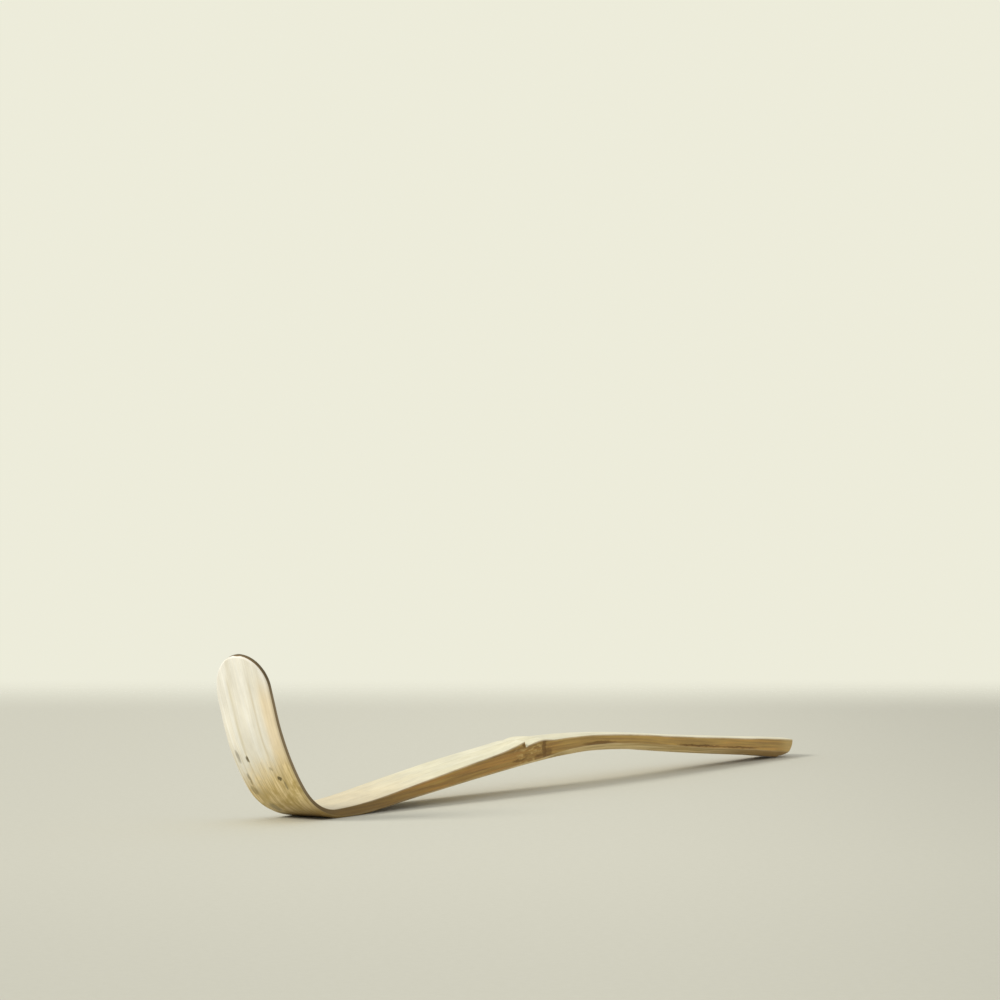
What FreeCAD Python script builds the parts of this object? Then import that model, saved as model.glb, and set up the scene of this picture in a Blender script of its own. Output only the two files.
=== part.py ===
import FreeCAD, Part
import math
import os

# A bamboo tea scoop, carved and heat-bent from one strip of bamboo.
# +X runs to the cut end of the handle, +Y across the strip, +Z up from the table.
# The strip rests on a short flat under the bend and on the lower corner of the cut end.
# All lengths are in millimetres and all angles in degrees.

# Spine: the line along the middle of the strip's underside.
STRIP_LENGTH = 182.0     # from the tip to the cut end, measured along the bend
BLADE_STRAIGHT = 10.0    # straight top of the blade
UPPER_BEND_R, UPPER_BEND_TURN = 36.4, 21.2
LOWER_BEND_R, LOWER_BEND_TURN = 13.1, 48.6
BEND_FLAT = 2.8          # the stretch that lies on the table
RISE_R, RISE_TURN = 129.0, 5.7
ARCH_R = 236.0           # easy arch over the node
HANDLE_SLOPE = 4.7       # how steeply the handle comes down to the table

TIP_LENGTH = 6.0         # the rounded tip, half an ellipse as wide as the blade
LIP = 89.3               # where the sheath scar's lip steps down to the notch behind it
END_ROUND = 2.0          # radius of the cut end's lower corner
LAND_TRIM = 0.03         # shaved off the underside to leave flat lands on the table

# Carving along the strip: (distance from the tip, value).
WIDTH = [(0, 10.1), (6, 10.1), (16, 10.5), (24, 10.4), (36, 9.3), (60, 8.9), (78, 8.1), (90, 7.4),
         (112, 6.9), (182, 5.7)]
EDGE_THICKNESS_FRONT = [(0, 0.87), (20, 0.9), (28, 1.0), (31.5, 1.2), (35, 1.5), (41, 1.76),
                        (48, 1.96), (56, 2.15), (64, 2.45), (78, 3.0), (84, 3.4), (LIP, 3.8)]
EDGE_THICKNESS_BACK = [(LIP, 3.05), (94.5, 3.45), (98.5, 3.0), (108, 2.65), (134, 2.6), (182, 3.2)]
TOP_CROWN = [(0, -0.15), (24, -0.12), (40, 0.08), (88, 0.2), (120, 0.35), (182, 0.35)]
BACK_CROWN = [(0, 0.35), (20, 0.32), (30, 0.04), (33, 0.0), (182, 0.0)]
LOWER_BEVEL = [(0, 0.15), (20, 0.2), (32, 0.6), (46, 0.25), (88, 0.3), (106, 1.0), (182, 1.0)]

FRONT_STATIONS = [0, 6, 10, 14, 18, 23.4, 26, 29, 32, 34.6, 37.3, 42, 46, 50, 56, 64, 72, 78, 84, LIP]
BACK_STATIONS = [LIP, 91.5, 94.5, 98.5, 103, 108, 116, 121, 126, 131, 138, 148, 158, 168, 175, 182]


def interpolate(table, s):
    """Smooth, overshoot-free curve through a table of (distance, value)."""
    for i in range(len(table) - 1):
        if s <= table[i + 1][0]:
            break
    (s0, v0), (s1, v1) = table[i], table[i + 1]
    slopes = [(b[1] - a[1]) / (b[0] - a[0]) for a, b in zip(table, table[1:])]

    def tangent(k):
        before, after = slopes[max(k - 1, 0)], slopes[min(k, len(slopes) - 1)]
        return 0.0 if before * after <= 0 else 2 * before * after / (before + after)

    h = s1 - s0
    u = min(max((s - s0) / h, 0.0), 1.0)
    return ((2 * u**3 - 3 * u**2 + 1) * v0 + (u**3 - 2 * u**2 + u) * h * tangent(i)
            + (3 * u**2 - 2 * u**3) * v1 + (u**3 - u**2) * h * tangent(i + 1))


def spine_segments():
    """(length, turn in radians) of each stretch, from the tip to the cut end."""
    upper, lower = math.radians(UPPER_BEND_TURN), math.radians(LOWER_BEND_TURN)
    rise, slope = math.radians(RISE_TURN), math.radians(HANDLE_SLOPE)
    bent = [(BLADE_STRAIGHT, 0.0), (UPPER_BEND_R * upper, upper), (LOWER_BEND_R * lower, lower),
            (BEND_FLAT, 0.0), (RISE_R * rise, rise)]
    arch_length = ARCH_R * (rise + slope)
    left = STRIP_LENGTH - sum(length for length, turn in bent) - arch_length
    # The shaft and handle share what is left, so that the end's rounding meets the table.
    climb = RISE_R * (1 - math.cos(rise)) + ARCH_R * (math.cos(slope) - math.cos(rise))
    shaft = ((left - END_ROUND) * math.sin(slope) - climb) / (math.sin(rise) + math.sin(slope))
    return bent + [(shaft, 0.0), (arch_length, -(rise + slope)), (left - shaft, 0.0)]


def walk(s):
    """Spine position (x, z) and angle at distance s from the tip, in the tip's own frame."""
    x = z = 0.0
    angle = -math.radians(UPPER_BEND_TURN + LOWER_BEND_TURN)
    for length, turn in spine_segments():
        step = min(s, length)
        part = turn * step / length
        chord = step if turn == 0 else 2 * length / turn * math.sin(part / 2)
        x += chord * math.cos(angle + part / 2)
        z += chord * math.sin(angle + part / 2)
        angle += part
        s -= step
        if s <= 0:
            break
    return x, z, angle


FLAT_Z = walk(sum(length for length, turn in spine_segments()[:3]))[1]


def place(s, y, n):
    """Point at distance s along the strip, y across it and n above its underside."""
    x, z, angle = walk(s)
    return FreeCAD.Vector(x - n * math.sin(angle), y, z - FLAT_Z + n * math.cos(angle))


def section(s, thickness_table):
    """Closed wire across the strip: crowned top, upright flanks, bevels and underside."""
    half, bevel = interpolate(WIDTH, s) / 2, interpolate(LOWER_BEVEL, s)
    edge = interpolate(thickness_table, s)
    top, back = edge + interpolate(TOP_CROWN, s), -interpolate(BACK_CROWN, s)
    flat = half - bevel
    arcs = [(-flat, 0, 0, back, flat, 0), (half, edge, 0, top, -half, edge)]
    curves = []
    for y0, n0, ym, nm, y1, n1 in arcs:
        curve = Part.BezierCurve()
        curve.setPoles([place(s, y0, n0), place(s, ym, 2 * nm - (n0 + n1) / 2), place(s, y1, n1)])
        curves.append(curve.toShape())
    lines = [Part.makeLine(place(s, *a), place(s, *b)) for a, b in
             [((flat, 0), (half, bevel)), ((half, bevel), (half, edge)),
              ((-half, edge), (-half, bevel)), ((-half, bevel), (-flat, 0))]]
    return Part.Wire([curves[0], lines[0], lines[1], curves[1], lines[2], lines[3]])


def strip(stations, thickness_table):
    """Smooth solid through the sections at the given distances."""
    return Part.makeLoft([section(s, thickness_table) for s in stations], True, False)


def tip_waste():
    """Everything beside the rounded tip, through the blade's thickness."""
    half, low, high, wide = WIDTH[0][1] / 2, -2.0, 3.0, 8.0
    ellipse = Part.Ellipse(place(0, 0, low), place(TIP_LENGTH, half, low), place(TIP_LENGTH, 0, low))
    outline = Part.ArcOfEllipse(ellipse, -math.pi / 2, math.pi / 2).toShape()
    start, end = outline.Vertexes[0].Point, outline.Vertexes[-1].Point
    side = wide if end.y > 0 else -wide
    corners = [end, place(TIP_LENGTH, side, low), place(-2.0, side, low),
               place(-2.0, -side, low), place(TIP_LENGTH, -side, low), start]
    edges = [outline] + [Part.makeLine(a, b) for a, b in zip(corners, corners[1:])]
    return Part.Face(Part.Wire(edges)).extrude(place(0, 0, high) - place(0, 0, low))


def end_corner_waste():
    """The sharp lower corner of the cut end, outside its rounding."""
    wide, over = 5.0, 0.5
    start = place(STRIP_LENGTH - END_ROUND, -wide, 0)
    end = place(STRIP_LENGTH, -wide, END_ROUND)
    diagonal = END_ROUND * math.sqrt(0.5)
    middle = place(STRIP_LENGTH - END_ROUND + diagonal, -wide, END_ROUND - diagonal)
    along = (place(STRIP_LENGTH, 0, 0) - place(STRIP_LENGTH - 1, 0, 0)) * over
    down = (place(STRIP_LENGTH, 0, 0) - place(STRIP_LENGTH, 0, 1)) * over
    corners = [end, end + along, place(STRIP_LENGTH, -wide, 0) + along + down, start + down, start]
    edges = [Part.Arc(start, middle, end).toShape()]
    edges += [Part.makeLine(a, b) for a, b in zip(corners, corners[1:])]
    return Part.Face(Part.Wire(edges)).extrude(FreeCAD.Vector(0, 2 * wide, 0))


def below_table():
    """Everything lower than the two lands that the scoop rests on."""
    return Part.makeBox(400, 60, 20, FreeCAD.Vector(-100, -30, LAND_TRIM - 20))


def main():
    os.makedirs("parts", exist_ok=True)
    front = strip(FRONT_STATIONS, EDGE_THICKNESS_FRONT)
    back = strip(BACK_STATIONS, EDGE_THICKNESS_BACK)
    scoop = front.fuse(back)
    for waste in (tip_waste(), end_corner_waste(), below_table()):
        scoop = scoop.cut(waste)
    scoop = scoop.Solids[0]
    box = scoop.optimalBoundingBox(False, False)
    scoop.translate(FreeCAD.Vector(-(box.XMin + box.XMax) / 2, 0, -box.ZMin))
    scoop.exportStep("parts/tea_scoop.step")


main()
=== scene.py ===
import math

import bpy
import numpy as np
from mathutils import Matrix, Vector


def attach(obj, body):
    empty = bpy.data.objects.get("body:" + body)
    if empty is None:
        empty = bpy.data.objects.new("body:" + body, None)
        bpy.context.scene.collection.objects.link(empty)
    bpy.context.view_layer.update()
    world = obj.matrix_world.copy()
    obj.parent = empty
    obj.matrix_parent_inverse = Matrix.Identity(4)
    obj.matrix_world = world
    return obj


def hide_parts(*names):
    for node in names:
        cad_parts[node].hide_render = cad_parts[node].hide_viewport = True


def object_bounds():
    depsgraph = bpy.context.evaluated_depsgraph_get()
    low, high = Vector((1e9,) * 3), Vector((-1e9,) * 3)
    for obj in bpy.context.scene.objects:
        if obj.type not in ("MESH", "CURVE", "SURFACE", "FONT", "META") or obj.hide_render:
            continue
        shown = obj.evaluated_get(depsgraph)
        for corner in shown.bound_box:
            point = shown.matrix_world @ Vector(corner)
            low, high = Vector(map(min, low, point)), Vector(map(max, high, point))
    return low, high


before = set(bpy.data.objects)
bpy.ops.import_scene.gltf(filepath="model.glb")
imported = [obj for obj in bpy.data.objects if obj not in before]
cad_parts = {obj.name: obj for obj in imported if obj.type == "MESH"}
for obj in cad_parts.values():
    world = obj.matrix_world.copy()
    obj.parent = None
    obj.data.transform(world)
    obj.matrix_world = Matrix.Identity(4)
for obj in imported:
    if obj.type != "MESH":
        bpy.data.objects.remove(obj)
cad_low, cad_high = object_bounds()

# A bamboo tea scoop: one strip of bamboo, bent up at the blade, with its node near the middle.
# Every point of the strip is given in strip coordinates, in millimetres:
#   s  distance from the blade's tip, along the underside,
#   y  across the strip (the near side is -y),
#   n  height above the underside, square to the strip.
MM = 0.001
BODY = "root"

# Spine of the strip's underside, as in the CAD part.
STRIP_LENGTH = 182.0
BLADE_STRAIGHT = 10.0
UPPER_BEND_R, UPPER_BEND_TURN = 36.4, 21.2
LOWER_BEND_R, LOWER_BEND_TURN = 13.1, 48.6
BEND_FLAT = 2.8
RISE_R, RISE_TURN = 129.0, 5.7
ARCH_R = 236.0
HANDLE_SLOPE = 4.7
END_ROUND = 2.0
LAND_TRIM = 0.03

# The rounded tip leans to the near side: its apex is off the middle line, with a long far shoulder.
TIP_APEX = -0.7
TIP_NEAR, TIP_FAR = 5.2, 7.8
LIP_NEAR, LIP_FAR = 89.1, 91.6   # the sheath scar crosses the skin side at a slant
EDGE_R = 0.14                    # every carved arris is eased by this radius
CUT_EDGE_R = 0.10                # the sawn end's arris is sharper
END_SWEEP, END_RISE = 4.0, 2.8   # the underside sweeps up to the cut end over this length
CUT_TOP_N = 3.55                 # the CAD part's highest point on the cut end

# Sheath scar: its lip stands proud by these shares at the near and far edge, it bows towards the
# handle, and a fine groove and a short step follow it. Its slant dies away along the handle.
LIP_AT_NEAR, LIP_AT_FAR = 1.0, 0.16
SCAR_BOW, SCAR_STEP, SLANT_FADE = 0.5, 0.35, 14.0
SCAR_GROOVE_AT, SCAR_GROOVE_DEPTH, SCAR_GROOVE_WIDTH = 0.55, 0.10, 0.4

# Knife facets on the blade's back, as (share of the half width, height), and fine grooves,
# as (share of the half width, breadth, depth).
FACETS = [(-1, 0), (-0.36, 1.0), (0.53, 0.82), (1, 0)]
FACET_SHARE = 0.8
BACK_GROOVES = [(0.43, 0.035, 0.05), (-0.40, 0.03, 0.03)]
GROOVED_CROWN = 0.3              # the grooves are at full depth where the crown is this high

BEVEL_WAVE, BEVEL_WAVELENGTH, BEVEL_PHASE = 0.05, 23.0, 1.3
BEVEL_BLEND, BEVEL_INSET = 0.05, 0.012

# Carving along the strip: (distance from the tip, value).
HALF_NEAR = [(0, 5.25), (10, 5.22), (16, 5.27), (24, 5.2), (36, 4.65), (60, 4.45), (78, 4.05),
             (90, 3.7), (112, 3.45), (182, 2.85)]
HALF_FAR = [(0, 4.93), (9, 4.93), (17, 5.2), (24, 5.27), (36, 4.65), (60, 4.45), (78, 4.05),
            (90, 3.7), (112, 3.45), (182, 2.85)]
EDGE_FRONT = [(0, 0.87), (20, 0.9), (34.5, 1.1), (46, 1.7), (64, 2.45), (78, 2.92), (100, 3.33)]
EDGE_BACK = [(80, 2.9), (88, 3.0), (94.5, 3.5), (98.5, 3.12), (104, 3.0), (112, 2.74), (124, 2.63),
             (136, 2.76), (155, 3.03), (182, 3.2)]
# Rise of the whole strip, and what the underside keeps below it where the strip rests.
DRIFT = [(0, 0.40), (36, 0.40), (70, 0.36), (80, 0.25), (87, 0.16), (95, 0.18), (104, 0.25),
         (112, 0.42), (126, 0.42), (136, 0.28), (150, 0.13), (163, 0.13), (175, 0.23), (182, 0.22)]
UNDER = [(30, 0), (33, 0.16), (36, 0.40), (40, 0.38), (47, 0.16), (54, 0), (166, 0),
         (174, 0.17), (178, 0.23), (182, 0.23)]
LIP_FLARE = [(-13, 0.0), (-7, 0.18), (-3.4, 0.42), (0, 0.78)]
TOP_CROWN = [(0, -0.15), (24, -0.12), (40, 0.08), (88, 0.2), (104, 0.24), (125, 0.25), (182, 0.25)]
BACK_CROWN = [(0, 0.30), (12, 0.26), (20, 0.06), (25, 0.0), (182, 0.0)]
LOWER_BEVEL = [(0, 0.15), (20, 0.2), (32, 0.35), (46, 0.2), (88, 0.3), (93, 0.34), (105, 1.0),
               (182, 1.0)]


def along(table, s):
    """Smooth, overshoot-free curve through a table of (distance, value)."""
    x, v = np.array(table, float).T
    slope = np.diff(v) / np.diff(x)
    before, after = np.r_[slope[0], slope], np.r_[slope, slope[-1]]
    tangent = np.where(before * after <= 0, 0.0, 2 * before * after / (before + after + 1e-30))
    i = np.clip(np.searchsorted(x, s, side="left") - 1, 0, len(x) - 2)
    h = x[i + 1] - x[i]
    u = np.clip((s - x[i]) / h, 0.0, 1.0)
    return ((2 * u**3 - 3 * u**2 + 1) * v[i] + (u**3 - 2 * u**2 + u) * h * tangent[i]
            + (3 * u**2 - 2 * u**3) * v[i + 1] + (u**3 - u**2) * h * tangent[i + 1])


def spine_segments():
    """(length, turn in radians) of each stretch, from the tip to the cut end."""
    upper, lower = math.radians(UPPER_BEND_TURN), math.radians(LOWER_BEND_TURN)
    rise, slope = math.radians(RISE_TURN), math.radians(HANDLE_SLOPE)
    bent = [(BLADE_STRAIGHT, 0.0), (UPPER_BEND_R * upper, upper), (LOWER_BEND_R * lower, lower),
            (BEND_FLAT, 0.0), (RISE_R * rise, rise)]
    arch_length = ARCH_R * (rise + slope)
    left = STRIP_LENGTH - sum(length for length, turn in bent) - arch_length
    climb = RISE_R * (1 - math.cos(rise)) + ARCH_R * (math.cos(slope) - math.cos(rise))
    shaft = ((left - END_ROUND) * math.sin(slope) - climb) / (math.sin(rise) + math.sin(slope))
    return bent + [(shaft, 0.0), (arch_length, -(rise + slope)), (left - shaft, 0.0)]


def walk(s):
    """Spine x, z and angle at distances s from the tip, in the tip's own frame."""
    left = np.array(s, float)
    x, z = np.zeros_like(left), np.zeros_like(left)
    angle = np.full_like(left, -math.radians(UPPER_BEND_TURN + LOWER_BEND_TURN))
    for length, turn in spine_segments():
        step = np.clip(left, 0.0, length)
        part = turn * step / length
        chord = step if turn == 0 else 2 * length / turn * np.sin(part / 2)
        x += chord * np.cos(angle + part / 2)
        z += chord * np.sin(angle + part / 2)
        angle += part
        left -= length
    return x, z, angle


FLAT_Z = walk(sum(length for length, turn in spine_segments()[:3]))[1]
end_x, _, end_angle = walk(STRIP_LENGTH)
SHIFT_X = cad_high.x / MM - (end_x - CUT_TOP_N * np.sin(end_angle))


def place(s, y, n):
    """Points in the part's frame, in metres, from strip coordinates in millimetres."""
    x, z, angle = walk(s)
    height = z - FLAT_Z - LAND_TRIM + along(DRIFT, s) + n * np.cos(angle)
    return np.stack([x - n * np.sin(angle) + SHIFT_X, y, np.maximum(height, 0.0)], axis=-1) * MM


# ---------------------------------------------------------------- carved surface

def wave(s, wavelength, phase):
    """Slow hand-carved unevenness, between -1 and 1: a long wave and a shorter, weaker one."""
    weak, short, shift = 0.6, 0.43, 2.1
    turn = 2 * math.pi * s / wavelength
    return (np.sin(turn + phase) + weak * np.sin(turn / short + shift * phase)) / (1 + weak)


def tip_half(s, length):
    """Share of the full half width that the rounded tip leaves at s."""
    u = np.clip(1 - s / length, 0.0, 1.0)
    return np.sqrt(np.clip(1 - u * u, 0.0, 1.0))


def outline(s):
    """Near (-y) and far (+y) edge of the strip at s."""
    near = along(HALF_NEAR, s) + TIP_APEX
    far = along(HALF_FAR, s) - TIP_APEX
    return TIP_APEX - near * tip_half(s, TIP_NEAR), TIP_APEX + far * tip_half(s, TIP_FAR)


def rim_distance(s, y):
    """Distance of a point in plan from the strip's edge."""
    half = np.where(y < TIP_APEX, along(HALF_NEAR, s) + TIP_APEX, along(HALF_FAR, s) - TIP_APEX)
    length = np.where(y < TIP_APEX, TIP_NEAR, TIP_FAR)
    y = y - TIP_APEX
    u = np.clip(1 - s / length, 0.0, 1.0)
    level = np.sqrt((y / half) ** 2 + u * u) + 1e-9
    slope = np.sqrt((y / half**2) ** 2 + (u / length) ** 2) / level + 1e-9
    return np.clip((1 - level) / slope, 0.0, None)


def eased(distance, radius):
    """Drop of a surface that is rounded over an edge of this radius."""
    u = np.clip(1 - distance / radius, 0.0, 1.0)
    return radius * (1 - np.sqrt(1 - u * u))


def across(s, y):
    """-1 at the near edge, 0 on the middle line and 1 at the far edge."""
    near, far = along(HALF_NEAR, s), along(HALF_FAR, s)
    return np.where(y < 0, y / near, y / far)


def scar_line(t):
    """Where the sheath scar crosses the strip, from the near edge (-1) to the far edge (1)."""
    return LIP_NEAR + (LIP_FAR - LIP_NEAR) * (0.5 + 0.5 * t) + SCAR_BOW * (1 - t * t)


def skin_height(s, y):
    """Height of the skin side: crowned, flared to the scar's lip, then swelling over the node."""
    t = across(s, y)
    scar = scar_line(t)
    lip_share = (LIP_AT_FAR + LIP_AT_NEAR) / 2 + (LIP_AT_FAR - LIP_AT_NEAR) / 2 * t
    front = along(EDGE_FRONT, s) + lip_share * along(LIP_FLARE, s - scar)
    slant = (scar - LIP_NEAR) * np.clip(1 - (s - scar) / SLANT_FADE, 0, 1)
    back = along(EDGE_BACK, s - slant)
    into_groove = (s - scar - SCAR_GROOVE_AT) / SCAR_GROOVE_WIDTH
    groove = SCAR_GROOVE_DEPTH * np.exp(-into_groove ** 2)
    step = np.clip((s - scar) / SCAR_STEP, 0.0, 1.0)
    step = step * step * (3 - 2 * step)
    crown = along(TOP_CROWN, s) * (1 - t * t)
    return front * (1 - step) + (back - groove) * step + crown


def back_height(s, y):
    """Height of the underside: knife facets on the blade, bevelled edges on the handle."""
    t = across(s, y)
    crown = along(BACK_CROWN, s)
    facet = np.interp(t, *zip(*FACETS)) - (1 - t * t)
    groove = sum(depth * np.exp(-((t - at) / breadth) ** 2) for at, breadth, depth in BACK_GROOVES)
    base = -crown * (1 - t * t) - FACET_SHARE * crown * facet
    base = base + groove * np.clip(crown / GROOVED_CROWN, 0, 1)
    unevenness = 1 + BEVEL_WAVE * wave(s, BEVEL_WAVELENGTH, BEVEL_PHASE)
    raised = along(LOWER_BEVEL, s) * unevenness - rim_distance(s, y)
    base = base + 0.5 * (raised + np.sqrt(raised**2 + BEVEL_BLEND**2)) - BEVEL_INSET
    base = base - along(UNDER, s)
    into_end = np.clip((s - (STRIP_LENGTH - END_SWEEP)) / END_SWEEP, 0.0, 1.0)
    swept = END_RISE * (1 - np.sqrt(1 - into_end**2))
    return np.where(into_end > 0, np.maximum(base, swept), base)


# Mesh rows: (from, to, step) along the blade, shaft, node and handle, with closer rows of their
# own round the tip and at the cut end.
ROW_STEPS = [(8.0, 36.0, 0.42), (36.0, 86.0, 0.62), (86.0, 97.0, 0.13), (97.0, 177.8, 0.66)]
TIP_ROWS, FIRST_TIP_ANGLE, END_ROWS = 30, 0.035, 18
CUT_EDGE_ROWS = [0.8, 0.45, 0.2, 0.05, 0.0]      # shares of the sawn arris's radius
INNER_COLUMNS, INNER_SHARE = 25, 0.86            # even columns up to this share of the half width
EDGE_COLUMNS = [0.89, 0.915, 0.935, 0.95, 0.964, 0.976, 0.985, 0.992, 0.997, 1.0]
FLANK_ROWS = 12
FLANK_COLUMNS = 2                # columns next to each edge that are coloured as flank
FLANK_TIP_ROWS = 2               # rows at the very tip that are coloured as flank
SKIN_ZONE, FLANK_ZONE, BACK_ZONE = (1, 0, 0), (0, 1, 0), (0, 0, 1)
SHARP_ANGLE = 50                 # degrees; edges sharper than this aren't smoothed over


def rows():
    """Distances of the mesh rows: close at the tip, the node and the cut end."""
    tip = TIP_FAR * (1 - np.cos(np.linspace(FIRST_TIP_ANGLE, math.pi / 2, TIP_ROWS)))
    body = [np.arange(*steps) for steps in ROW_STEPS]
    end = STRIP_LENGTH - END_SWEEP * (1 - np.sin(np.linspace(0, math.pi / 2, END_ROWS)))
    cut = STRIP_LENGTH - CUT_EDGE_R * np.array(CUT_EDGE_ROWS)
    return np.unique(np.concatenate([tip, *body, end[end < cut[0]], cut]).round(4))


def columns():
    """Shares of the half width at the mesh columns, closer towards the edges."""
    half = np.r_[np.linspace(0, INNER_SHARE, INNER_COLUMNS), EDGE_COLUMNS]
    return np.r_[-half[:0:-1], half]


def flank_steps():
    """Shares of the way across a flank at its own points."""
    return np.linspace(0, 1, FLANK_ROWS + 2)[1:-1]


def strip_points():
    """Strip coordinates and zone weights (skin, flank, underside) of rings of points."""
    s = rows()[:, None]
    near, far = outline(s)
    c = columns()[None, :]
    middle = np.where(s < TIP_FAR, TIP_APEX, TIP_APEX * np.clip(2 - s / TIP_FAR, 0, 1))
    y = middle + np.where(c < 0, c * (middle - near), c * (far - middle))
    s_grid = np.broadcast_to(s, y.shape)
    rim = rim_distance(s_grid, y)
    width = far - near
    radius = np.minimum(EDGE_R, 0.2 * width + 0.02)
    top = skin_height(s_grid, y) - eased(rim, radius)
    low = back_height(s_grid, y) + eased(rim, radius)
    cut = eased(STRIP_LENGTH - s_grid, CUT_EDGE_R)
    top, low = top - cut, low + cut
    # Each ring runs along the underside to the far edge, up that flank, back over the skin and
    # down the near flank.
    f = flank_steps()[None, :]
    one = np.ones_like(f)
    flank_s, thick = s * one, top - low
    far_n = low[:, -1:] + thick[:, -1:] * f
    near_n = top[:, :1] - thick[:, :1] * f
    ring_s = np.concatenate([s_grid, flank_s, s_grid, flank_s], axis=1)
    ring_y = np.concatenate([y, far * one, y[:, ::-1], near * one], axis=1)
    ring_n = np.concatenate([low, far_n, top[:, ::-1], near_n], axis=1)
    gap = np.minimum(f, 1 - f) * thick[:, -1:]
    ring_rim = np.concatenate([rim, gap, rim[:, ::-1], gap], axis=1)
    k = y.shape[1]
    zone = np.zeros(ring_s.shape + (3,))
    zone[:] = FLANK_ZONE
    inner = slice(FLANK_COLUMNS, k - FLANK_COLUMNS)
    zone[FLANK_TIP_ROWS:, :k][:, inner] = BACK_ZONE
    zone[FLANK_TIP_ROWS:, k + FLANK_ROWS:2 * k + FLANK_ROWS][:, inner] = SKIN_ZONE
    return ring_s, ring_y, ring_n, ring_rim, zone


def quads(grid, following):
    """Faces between the rows of a grid of point numbers, and the points that follow each."""
    return np.stack([grid[:-1], following[:-1], following[1:], grid[1:]], -1).reshape(-1, 4)


def cut_end(last, strip, k):
    """Inner points and faces of the cut end.

    It is a grid of its own, so that its face stays flat and carries the end grain.
    """
    low, top = last[:k], last[k + FLANK_ROWS:2 * k + FLANK_ROWS][::-1]
    share = flank_steps()[:, None, None]
    inner = strip[low[1:-1]] * (1 - share) + strip[top[1:-1]] * share
    grid = np.empty((FLANK_ROWS + 2, k), int)
    grid[0], grid[-1] = low, top
    grid[1:-1, -1] = last[k:k + FLANK_ROWS]
    grid[1:-1, 0] = last[2 * k + FLANK_ROWS:][::-1]
    grid[1:-1, 1:-1] = len(strip) + np.arange(inner[..., 0].size).reshape(inner.shape[:2])
    return inner.reshape(-1, 3), quads(grid[:, :-1], grid[:, 1:])


def build_scoop():
    ring_s, ring_y, ring_n, ring_rim, zone = strip_points()
    strip = np.stack([ring_s, ring_y, ring_n], -1).reshape(-1, 3)
    index = np.arange(ring_s.size).reshape(ring_s.shape)
    side_faces = quads(index, np.roll(index, -1, axis=1))
    inner, end_faces = cut_end(index[-1], strip, len(columns()))
    strip = np.concatenate([strip, inner])
    zones = np.concatenate([zone.reshape(-1, 3), np.tile(FLANK_ZONE, (len(inner), 1))])
    rims = np.concatenate([ring_rim.ravel(), np.ones(len(inner))])
    mesh = bpy.data.meshes.new("tea_scoop_bamboo")
    tip_face = index[0][::-1].tolist()
    all_faces = side_faces.tolist() + end_faces.tolist() + [tip_face]
    mesh.from_pydata(place(*strip.T).tolist(), [], all_faces)
    mesh.validate()
    for name, values in (("strip", strip), ("zone", zones)):
        layer = mesh.attributes.new(name, "FLOAT_VECTOR", "POINT")
        layer.data.foreach_set("vector", values.astype(np.float32).ravel())
    mesh.attributes.new("rim", "FLOAT", "POINT").data.foreach_set("value", rims.astype(np.float32))
    cut = mesh.attributes.new("cut_end", "FLOAT", "FACE")
    flags = np.zeros(len(all_faces), np.float32)
    flags[len(side_faces):len(side_faces) + len(end_faces)] = 1
    cut.data.foreach_set("value", flags)
    mesh.polygons.foreach_set("use_smooth", [True] * len(mesh.polygons))
    mesh.update()
    scoop = bpy.data.objects.new("tea_scoop_bamboo", mesh)
    bpy.context.scene.collection.objects.link(scoop)
    mesh.set_sharp_from_angle(angle=math.radians(SHARP_ANGLE))
    return scoop


# ---------------------------------------------------------------- materials

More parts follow.
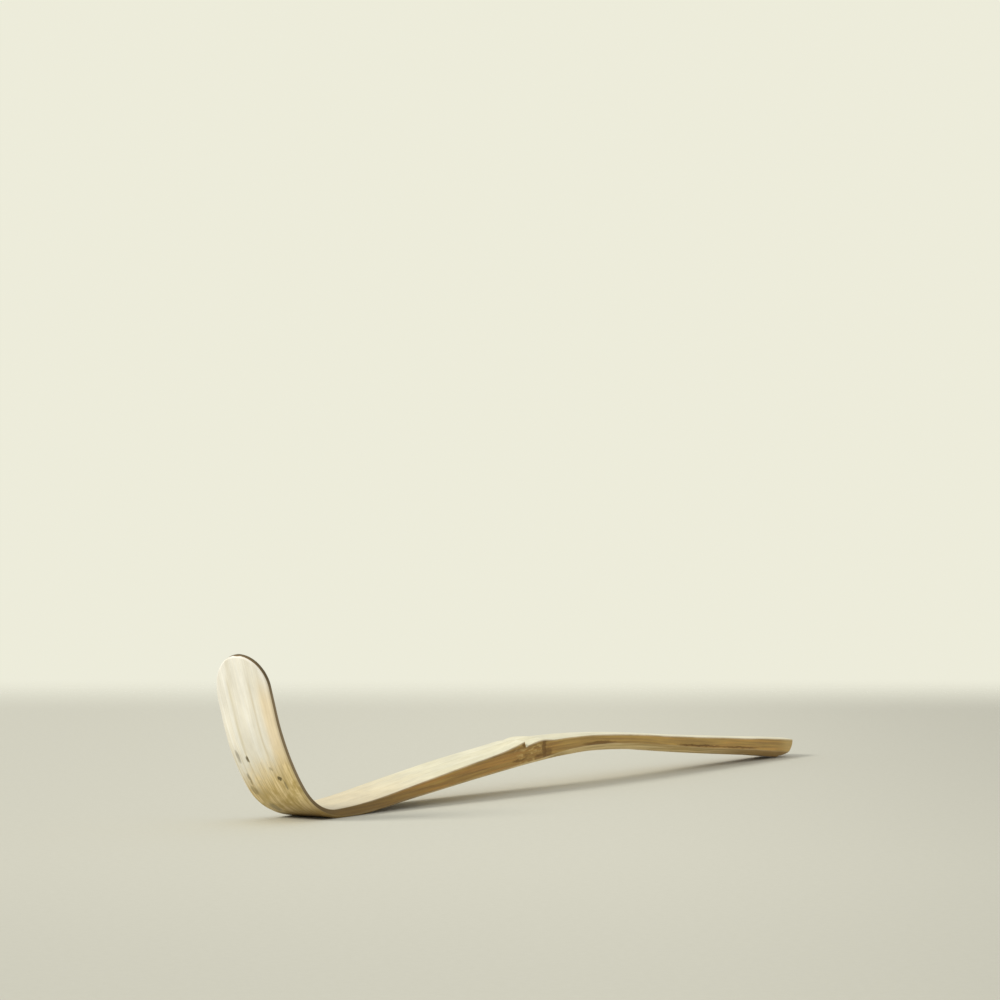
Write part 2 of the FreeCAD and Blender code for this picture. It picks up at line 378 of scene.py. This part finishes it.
class Shader:
    """Short names for building a node tree."""

    def __init__(self, tree):
        self.tree = tree
        tree.nodes.clear()

    def node(self, kind, **props):
        made = self.tree.nodes.new(kind)
        for name, value in props.items():
            setattr(made, name, value)
        return made

    def feed(self, socket, value):
        if isinstance(value, bpy.types.NodeSocket):
            self.tree.links.new(value, socket)
        elif isinstance(value, (tuple, list)) and len(value) == 3 and socket.type == "RGBA":
            socket.default_value = (*value, 1)
        else:
            socket.default_value = value

    def math(self, operation, a, b=0.0, c=0.0):
        made = self.node("ShaderNodeMath", operation=operation)
        for socket, value in zip(made.inputs, (a, b, c)):
            self.feed(socket, value)
        return made.outputs[0]

    def mix(self, share, a, b, blend="MIX"):
        made = self.node("ShaderNodeMix", data_type="RGBA", blend_type=blend)
        self.feed(made.inputs[0], share)
        self.feed(made.inputs[6], a)
        self.feed(made.inputs[7], b)
        return made.outputs[2]

    def times(self, first, *others):
        for other in others:
            first = self.math("MULTIPLY", first, other)
        return first

    def band(self, value, low, high, out_low=0.0, out_high=1.0):
        """Smooth change from one output to the other as the value goes from low to high."""
        made = self.node("ShaderNodeMapRange", interpolation_type="SMOOTHSTEP")
        for socket, v in zip(made.inputs, (value, low, high, out_low, out_high)):
            self.feed(socket, v)
        return made.outputs[0]

    def tint(self, colour, over, value, start, full, share=1.0):
        """The colour, with another laid over it to this share as the value goes to full."""
        return self.mix(self.band(value, start, full, 0.0, share), colour, over)

    def darken(self, colour, level):
        return self.mix(1.0, colour, self.vector(level, level, level), "MULTIPLY")

    def vector(self, x, y, z):
        made = self.node("ShaderNodeCombineXYZ")
        for socket, value in zip(made.inputs, (x, y, z)):
            self.feed(socket, value)
        return made.outputs[0]

    def blot(self, a, a0, a_half, b, b0, b_half):
        """Soft oval patch: 1 at its middle, 0 outside."""
        u = self.math("DIVIDE", self.math("SUBTRACT", a, a0), a_half)
        v = self.math("DIVIDE", self.math("SUBTRACT", b, b0), b_half)
        return self.band(self.math("MULTIPLY_ADD", u, u, self.times(v, v)), 1.5, 0.3)

    def attribute(self, name, output="Vector"):
        return self.node("ShaderNodeAttribute", attribute_name=name).outputs[output]

    def split(self, vector):
        made = self.node("ShaderNodeSeparateXYZ")
        self.feed(made.inputs[0], vector)
        return made.outputs

    def noise(self, vector, scale=1.0, detail=2.0, roughness=0.5, distortion=0.0):
        made = self.node("ShaderNodeTexNoise")
        self.feed(made.inputs["Vector"], vector)
        self.feed(made.inputs["Scale"], scale)
        self.feed(made.inputs["Detail"], detail)
        self.feed(made.inputs["Roughness"], roughness)
        self.feed(made.inputs["Distortion"], distortion)
        return made.outputs[0]


# Marks in millimetres: (along, across or up, half length, half breadth, strength).
BACK_MARKS = [(17.4, 2.3, 0.7, 0.28, 0.9), (20.9, -2.2, 0.5, 0.4, 0.95),
              (22.2, -2.8, 1.0, 0.25, 0.6), (19.1, -1.4, 0.4, 0.35, 0.4),
              (21.4, 3.7, 1.2, 0.3, 0.55), (17.0, 4.0, 1.3, 0.35, 0.5),
              (23.8, 4.0, 1.0, 0.6, 0.45), (28.6, 2.8, 1.6, 0.7, 0.55)]
FLANK_MARKS = [(95.0, 2.0, 0.65, 1.9, 0.75), (96.2, 1.2, 1.2, 0.8, 0.6),
               (93.4, 1.0, 1.5, 0.25, 0.7), (88.8, 3.4, 0.45, 0.5, 0.75),
               (87.0, 1.0, 2.2, 0.20, 0.7), (112.5, 1.3, 5.5, 0.36, 0.75),
               (147.0, 1.4, 8.0, 0.20, 0.9), (161.5, 1.35, 7.5, 0.2, 0.75)]
MARK_ON_BACK, MARK_ON_FLANK = (0.12, 0.09, 0.03), (0.14, 0.062, 0.0)
MARK_WANDER_S, MARK_WANDER = 1.2, 0.6    # how far the fleck noise pushes a mark's edge

# (distance from the middle line, half breadth, strength, colour) of lines painted along the knife
# ridges on the back: a painted highlight on the first ridge and painted shade in the grooves beside
# the ridges.
RIDGE_HIGHLIGHT_AND_SHADE = [(2.75, 0.40, 0.6, (0.86, 0.85, 0.78)), (2.1, 0.45, 0.5, (0.56, 0.48, 0.29)),
               (-1.9, 0.35, 0.45, (0.52, 0.42, 0.24))]

# Colours of the skin side, the carved flanks, the blade's back, the underside and the cut end.
SKIN_DEEP, SKIN_PALE = (0.735, 0.685, 0.455), (0.80, 0.76, 0.54)
SKIN_STREAK, SKIN_TOASTED_AND_SHADED = (0.66, 0.57, 0.36), (0.66, 0.53, 0.31)
FLANK_DARK, FLANK_LIGHT = (0.285, 0.152, 0.030), (0.495, 0.305, 0.072)
FLANK_RUSSET = (0.56, 0.29, 0.06)
EDGE_AT_TIP, EDGE_ON_BLADE = (0.10, 0.075, 0.035), (0.25, 0.185, 0.10)
EDGE_AT_BEND = (0.15, 0.095, 0.028)
NODE_PALE, NODE_DARK = (0.58, 0.40, 0.13), (0.22, 0.12, 0.02)
BACK_DEEP, BACK_PALE = (0.79, 0.745, 0.62), (0.86, 0.83, 0.735)
BACK_STREAK, NEAR_FACET = (0.69, 0.60, 0.40), (0.76, 0.58, 0.31)
BROWNED_DARK, BROWNED_PALE = (0.50, 0.37, 0.13), (0.82, 0.66, 0.36)
# The second colour below is painted shade under the bend, where it rests on the table.
BROWNED_STREAK, BEND_CONTACT_SHADE = (0.42, 0.29, 0.09), (0.24, 0.14, 0.028)
UNDER_DARK, UNDER_PALE, UNDER_AT_END = (0.52, 0.36, 0.13), (0.84, 0.66, 0.34), (0.37, 0.22, 0.07)
# Worn arrises, lightened partly as wear and partly as a painted highlight along the top edge.
WORN_AND_HIGHLIGHT = (0.80, 0.70, 0.50)
END_GROUND, END_BUNDLE = (0.70, 0.56, 0.32), (0.30, 0.18, 0.06)

# Changes of the flank's colour along the strip: (from s, to s, share, colour).
FLANK_TINTS = [(176.0, 181.0, 0.45, (0.66, 0.50, 0.21)), (97.0, 103.0, 0.12, (0.75, 0.56, 0.17)),
               (100.0, 94.0, 0.16, (0.02, 0.0, 0.0)), (62.0, 38.0, 0.85, (0.19, 0.115, 0.03))]

BUNDLES_PER_MM = 3.2             # fibre bundles on the cut end
SPECULAR = 0.3
SKIN_GLOSS, WORN_GLOSS = 0.10, 0.08      # how much smoother the skin and the worn arrises are
BUMP_DEPTH = 0.06
BUMP_STRENGTH, SKIN_BUMP_LOSS = 0.8, 0.5


class Bamboo:
    """Places on the strip and fibre noises that the bamboo's colours share."""

    def __init__(self, g):
        self.g = g
        self.s, self.y, self.n = g.split(g.attribute("strip"))
        self.skin, self.flank, self.back = g.split(g.attribute("zone"))
        self.rim, self.cut = g.attribute("rim", "Fac"), g.attribute("cut_end", "Fac")
        # Fibre bundles run along s; noise stretched that way gives streaks at two widths.
        self.fibre = self.grain(0.08, 9.0, 9.0, 3.0)
        self.streak = self.grain(0.05, 2.4, 3.4, 3.0)
        self.broad = self.grain(0.04, 0.7, 1.3, 2.0, 0.5)
        self.cloud = self.grain(0.16, 0.4, 0.8, 3.0)
        self.mottle = self.grain(0.28, 0.55, 0.9, 3.0, 0.8)
        self.fleck = self.grain(0.55, 1.7, 1.9, 2.0, 0.4)

    def grain(self, per_s, per_y, per_n, detail, distortion=0.0):
        """Noise with this many features per millimetre each way."""
        g = self.g
        at = g.vector(g.times(self.s, per_s), g.times(self.y, per_y), g.times(self.n, per_n))
        return g.noise(at, 1.0, detail, 0.6, distortion)

    def skin_colour(self):
        g, s = self.g, self.s
        colour = g.mix(g.band(self.broad, 0.35, 0.7), SKIN_DEEP, SKIN_PALE)
        colour = g.tint(colour, SKIN_STREAK, self.streak, 0.52, 0.75, 0.35)
        # Heat browning towards the bend, deepened as painted shade where the blade shades the skin.
        return g.tint(colour, SKIN_TOASTED_AND_SHADED, s, 72.0, 42.0, 0.6)

    def flank_colour(self):
        g, s, n = self.g, self.s, self.n
        colour = g.mix(g.band(self.streak, 0.32, 0.68), FLANK_DARK, FLANK_LIGHT)
        colour = g.tint(colour, FLANK_RUSSET, self.broad, 0.48, 0.62, 0.6)
        for start, full, share, over in FLANK_TINTS:
            colour = g.tint(colour, over, s, start, full, share)
        # The blade's thin edge is dark, darkest at the tip and towards its inner face.
        inner_edge = g.times(g.band(s, 36.0, 31.0), g.band(n, 0.2, 0.45, 0.45, 1.0), 0.9)
        tone = g.mix(g.band(s, 3.0, 7.0), EDGE_AT_TIP, EDGE_ON_BLADE)
        tone = g.tint(tone, EDGE_AT_BEND, s, 22.0, 30.0)
        return g.mix(inner_edge, colour, tone)

    def back_colour(self):
        """Blade's back, brown from heat round the bend and darkened by painted shade where the bend
        comes down to the table, then the underside behind it.
        """
        g, s, y = self.g, self.s, self.y
        colour = g.mix(g.band(self.broad, 0.35, 0.66), BACK_DEEP, BACK_PALE)
        streaked = g.times(g.band(self.streak, 0.5, 0.72), g.band(s, 2.0, 18.0, 0.2, 0.55))
        colour = g.mix(streaked, colour, BACK_STREAK)
        upper = g.times(g.band(s, 2.5, 5.0), g.band(s, 19.0, 14.0),
                        g.band(self.cloud, 0.3, 0.6, 0.4, 1.0))
        # Painted highlight and painted shade along the knife ridges, laid on the back as lines of
        # colour.
        for y0, half, share, tone in RIDGE_HIGHLIGHT_AND_SHADE:
            line = g.band(g.math("ABSOLUTE", g.math("SUBTRACT", y, y0)), half, 0.0)
            colour = g.mix(g.times(line, upper, share), colour, tone)
        near_facet = g.times(g.band(y, -2.4, -3.9), g.band(s, 2.0, 8.0), 0.6)
        colour = g.mix(near_facet, colour, NEAR_FACET)
        browned_and_shaded = g.mix(g.band(self.mottle, 0.3, 0.7), BROWNED_DARK, BROWNED_PALE)
        browned_and_shaded = g.tint(browned_and_shaded, BROWNED_STREAK, self.streak, 0.45, 0.6, 0.55)
        # Painted shade: the back goes nearly black where the bend's underside comes down to the
        # table, sooner on the near side.
        aslant = g.math("MULTIPLY_ADD", y, -0.45, s)
        browned_and_shaded = g.tint(browned_and_shaded, BEND_CONTACT_SHADE, aslant, 26.5, 33.0, 0.85)
        # The browning reaches further up the blade on the near side.
        reach = g.math("MULTIPLY_ADD", self.mottle, 7.0, g.math("MULTIPLY_ADD", y, -0.55, s))
        toasted = g.times(g.band(reach, 19.0, 27.0), g.band(s, 68.0, 54.0))
        colour = g.mix(toasted, colour, browned_and_shaded)
        underside = g.mix(g.band(self.streak, 0.35, 0.65), UNDER_DARK, UNDER_PALE)
        underside = g.tint(underside, UNDER_AT_END, s, 138.0, 172.0, 0.85)
        return g.mix(g.band(s, 52.0, 70.0), colour, underside)

    def mottled_node(self, colour):
        """The node's flanks are mottled light and dark."""
        g, s = self.g, self.s
        by_node = g.times(self.flank, g.band(s, 84.0, 88.0), g.band(s, 97.0, 93.0))
        pale = g.times(by_node, g.band(self.fleck, 0.5, 0.66, 0.0, 0.7))
        dark = g.times(by_node, g.band(self.fleck, 0.44, 0.30, 0.0, 0.8))
        return g.mix(dark, g.mix(pale, colour, NODE_PALE), NODE_DARK)

    def marked(self, colour):
        """Stains and nicks, with edges broken up by the fleck noise."""
        g = self.g
        wander = g.math("SUBTRACT", self.fleck, 0.5)
        s, y, n = (g.math("MULTIPLY_ADD", wander, by, at) for by, at in
                   ((MARK_WANDER_S, self.s), (MARK_WANDER, self.y), (MARK_WANDER, self.n)))
        for marks, side, zone, dark in ((BACK_MARKS, y, self.back, MARK_ON_BACK),
                                        (FLANK_MARKS, n, self.flank, MARK_ON_FLANK)):
            for s0, side0, half_length, half_breadth, share in marks:
                blot = g.blot(s, s0, half_length, side, side0, half_breadth)
                colour = g.mix(g.times(blot, zone, share), colour, dark)
        return colour

    def wear_and_highlight(self):
        """Share by which handled arrises are polished and lightened, as wear and as a painted
        highlight along the top arris: patchy, and only behind the bend.
        """
        g = self.g
        return g.times(g.band(self.rim, 0.16, 0.04), g.band(self.cloud, 0.3, 0.7, 0.15, 0.6),
                       g.band(self.s, 34.0, 44.0), g.band(self.n, 1.3, 1.6, 0.12, 1.0))

    def end_colour(self):
        """The cut end shows the fibre bundles as dots, denser and darker towards the skin."""
        g = self.g
        dots = g.node("ShaderNodeTexVoronoi", feature="F1")
        g.feed(dots.inputs["Vector"], g.vector(0.0, self.y, self.n))
        dots.inputs["Scale"].default_value = BUNDLES_PER_MM
        bundle = g.band(dots.outputs["Distance"], 0.42, 0.2)
        return g.mix(g.times(bundle, g.band(self.n, 0.0, 3.2, 0.25, 0.8)), END_GROUND, END_BUNDLE)


def bamboo_material():
    mat = bpy.data.materials.new("bamboo")
    mat.use_nodes = True
    g = Shader(mat.node_tree)
    bamboo = Bamboo(g)
    colour = g.mix(bamboo.flank, bamboo.skin_colour(), bamboo.flank_colour())
    colour = g.mix(bamboo.back, colour, bamboo.back_colour())
    colour = g.darken(colour, g.times(g.band(bamboo.cloud, 0.2, 0.8, 0.88, 1.06),
                                      g.band(bamboo.fibre, 0.25, 0.75, 0.93, 1.05)))
    colour = bamboo.marked(bamboo.mottled_node(colour))
    worn_and_highlight = bamboo.wear_and_highlight()
    colour = g.mix(bamboo.cut, g.mix(worn_and_highlight, colour, WORN_AND_HIGHLIGHT), bamboo.end_colour())

    bsdf = g.node("ShaderNodeBsdfPrincipled")
    bsdf.inputs["Specular IOR Level"].default_value = SPECULAR
    g.feed(bsdf.inputs["Base Color"], colour)
    rough = g.band(bamboo.streak, 0.2, 0.8, 0.46, 0.62)
    rough = g.math("MULTIPLY_ADD", bamboo.skin, -SKIN_GLOSS, rough)
    g.feed(bsdf.inputs["Roughness"], g.math("MULTIPLY_ADD", worn_and_highlight, -WORN_GLOSS, rough))
    bump = g.node("ShaderNodeBump")
    bump.inputs["Distance"].default_value = BUMP_DEPTH * MM
    strength = g.math("MULTIPLY_ADD", bamboo.skin, -SKIN_BUMP_LOSS, BUMP_STRENGTH)
    g.feed(bump.inputs["Strength"], strength)
    relief = g.math("MULTIPLY_ADD", bamboo.fibre, 0.6, g.times(bamboo.streak, 0.6))
    g.feed(bump.inputs["Height"], relief)
    g.feed(bsdf.inputs["Normal"], bump.outputs[0])
    g.feed(g.node("ShaderNodeOutputMaterial").inputs["Surface"], bsdf.outputs[0])
    return mat


# ---------------------------------------------------------------- camera, floor and light

VIEW_TURN = math.radians(33.52)      # the camera looks this far round from +X towards +Y
VIEW_DIP = math.radians(0.356)
CAMERA_AT = Vector((-0.51299, -0.33234, 0.05231))
LENS, SENSOR = 130.45, 36.0
CLIP = (0.01, 10)

# The floor gives way to the backdrop behind the scoop, and further out on every other side,
# between these distances.
FLOOR_HALF = 1.2
FLOOR_FADE = (0.195, 0.335)
FLOOR_CLEAR = (0.70, 1.15)
FLOOR_TONES = (0.566, 0.554, 0.456), (0.576, 0.564, 0.466)
FLOOR_SPECKLE = 900.0                   # paper speckles per metre
# Painted light falloff on the floor: the middle against the left side, the right side against the
# middle, this far apart, and the front against the rest, between these distances; the floor is
# darker to the right and towards the front.
FLOOR_MIDDLE, FLOOR_RIGHT, FLOOR_SIDE = 1.045, 0.835, 0.11
FLOOR_FRONT, FLOOR_FRONT_FROM, FLOOR_FRONT_TO = 0.92, -0.10, -0.26
FLOOR_ROUGHNESS, FLOOR_SPECULAR = 0.9, 0.2

SKY = 0.77                              # even light from all round
BACKDROP = (0.847, 0.839, 0.705)
KEY_LIGHT = dict(azimuth=23.0, elevation=31.0, distance=5.0, size=1.5, power=170.0,
                 colour=(1.0, 0.99, 0.97))


def look(direction):
    return direction.to_track_quat("-Z", "Y").to_euler()


def add_camera():
    data = bpy.data.cameras.new("camera")
    data.lens, data.sensor_width = LENS, SENSOR
    data.clip_start, data.clip_end = CLIP
    camera = bpy.data.objects.new("camera", data)
    camera.location = CAMERA_AT
    camera.rotation_euler = look(Vector((math.cos(VIEW_TURN) * math.cos(VIEW_DIP),
                                         math.sin(VIEW_TURN) * math.cos(VIEW_DIP),
                                         -math.sin(VIEW_DIP))))
    bpy.context.scene.collection.objects.link(camera)
    bpy.context.scene.camera = camera


def floor_material():
    """Pale paper with a painted light falloff, darker to the right and towards the front, that
    clears away from the scoop.
    """
    mat = bpy.data.materials.new("floor_paper")
    mat.use_nodes = True
    g = Shader(mat.node_tree)
    at = g.node("ShaderNodeTexCoord").outputs["Object"]
    away, side, _ = g.split(at)
    tone = g.mix(g.band(g.noise(at, FLOOR_SPECKLE, 2.0), 0.3, 0.7), *FLOOR_TONES)
    # Painted light falloff: the paper darkens to the right and towards the front.
    level = g.times(g.band(side, FLOOR_SIDE, 0.0, 1.0, FLOOR_MIDDLE),
                    g.band(side, 0.0, -FLOOR_SIDE, 1.0, FLOOR_RIGHT),
                    g.band(away, FLOOR_FRONT_FROM, FLOOR_FRONT_TO, 1.0, FLOOR_FRONT))
    paper = g.node("ShaderNodeBsdfPrincipled")
    g.feed(paper.inputs["Base Color"], g.darken(tone, level))
    paper.inputs["Roughness"].default_value = FLOOR_ROUGHNESS
    paper.inputs["Specular IOR Level"].default_value = FLOOR_SPECULAR
    distance = g.node("ShaderNodeVectorMath", operation="LENGTH")
    g.feed(distance.inputs[0], at)
    all_round = g.band(distance.outputs["Value"], *FLOOR_CLEAR)
    fade = g.node("ShaderNodeMixShader")
    g.feed(fade.inputs[0], g.math("MAXIMUM", g.band(away, *FLOOR_FADE), all_round))
    g.feed(fade.inputs[1], paper.outputs[0])
    g.feed(fade.inputs[2], g.node("ShaderNodeBsdfTransparent").outputs[0])
    g.feed(g.node("ShaderNodeOutputMaterial").inputs["Surface"], fade.outputs[0])
    return mat


def add_floor():
    half = FLOOR_HALF
    mesh = bpy.data.meshes.new("floor")
    mesh.from_pydata([(-half, -half, 0), (half, -half, 0), (half, half, 0), (-half, half, 0)],
                     [], [(0, 1, 2, 3)])
    mesh.materials.append(floor_material())
    floor = bpy.data.objects.new("floor", mesh)
    floor.rotation_euler = (0, 0, VIEW_TURN)
    bpy.context.scene.collection.objects.link(floor)


def background(g, colour, strength=1.0):
    made = g.node("ShaderNodeBackground")
    g.feed(made.inputs[0], colour)
    g.feed(made.inputs[1], strength)
    return made.outputs[0]


def add_world():
    """Even white light, behind a plain backdrop colour."""
    world = bpy.data.worlds.new("studio")
    bpy.context.scene.world = world
    world.use_nodes = True
    g = Shader(world.node_tree)
    pick = g.node("ShaderNodeMixShader")
    g.feed(pick.inputs[0], g.node("ShaderNodeLightPath").outputs["Is Camera Ray"])
    g.feed(pick.inputs[1], background(g, (1.0, 1.0, 1.0), SKY))
    g.feed(pick.inputs[2], background(g, BACKDROP))
    g.feed(g.node("ShaderNodeOutputWorld").inputs["Surface"], pick.outputs[0])


def add_light(name, azimuth, elevation, distance, size, power, colour):
    """Disc light aimed at the scoop; azimuth is from -X, positive towards +Y, in degrees."""
    a, e = math.radians(azimuth), math.radians(elevation)
    direction = Vector((-math.cos(a) * math.cos(e), math.sin(a) * math.cos(e), math.sin(e)))
    data = bpy.data.lights.new(name, "AREA")
    data.shape, data.size, data.energy, data.color = "DISK", size, power, colour
    light = bpy.data.objects.new(name, data)
    light.location = direction * distance
    light.rotation_euler = look(-direction)
    bpy.context.scene.collection.objects.link(light)


scoop = build_scoop()
scoop.data.materials.append(bamboo_material())
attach(scoop, BODY)
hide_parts("tea_scoop")

add_floor()
add_world()
add_light("key", **KEY_LIGHT)
add_camera()
bpy.context.scene.view_settings.view_transform = "Standard"
